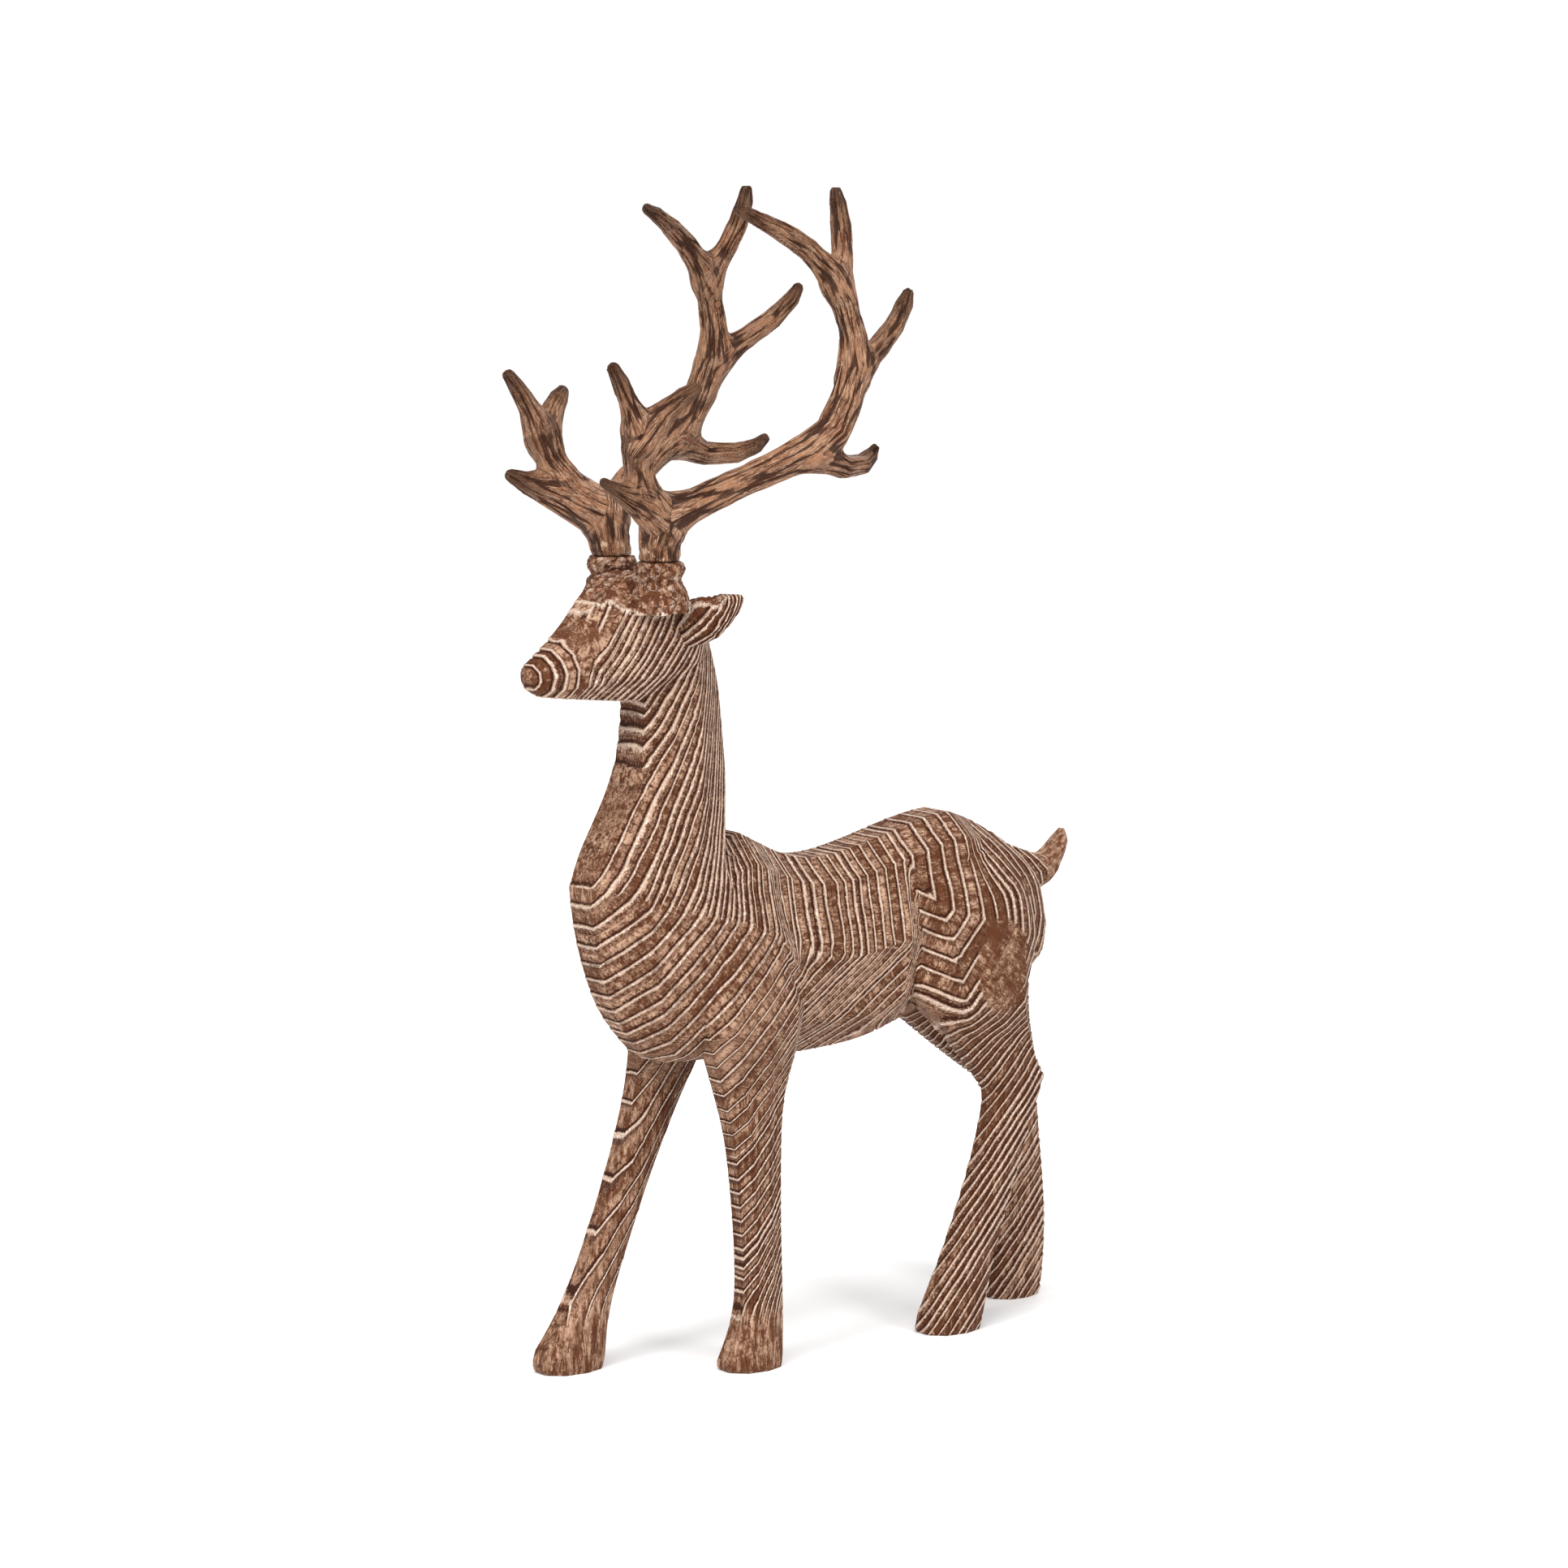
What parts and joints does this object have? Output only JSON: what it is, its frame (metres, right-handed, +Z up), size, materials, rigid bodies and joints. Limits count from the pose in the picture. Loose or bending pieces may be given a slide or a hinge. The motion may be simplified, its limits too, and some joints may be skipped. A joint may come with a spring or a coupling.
{
  "type": "reindeer figurine",
  "caption": "Standing reindeer figurine with a carved, ringed-wood look, a walking pose and tall branched antlers, for a shelf, mantel or table.",
  "frame": {"origin": "on the floor, under the middle of the whole figurine's box", "axes": "+Z up, -Y the way the deer faces, +X to the deer's own left"},
  "size_m": [0.1196, 0.2896, 0.5002],
  "materials": {
    "ringed_resin": "painted wood effect, dark brown in the grooves and dry-brushed cream on the ridges",
    "antler_plastic": "painted brown with beige veins, darker tips, faint satin sheen"
  },
  "bodies": {
    "root": {"deer_body": "ringed_resin", "left_antler": "antler_plastic", "right_antler": "antler_plastic"}
  },
  "joints": []
}
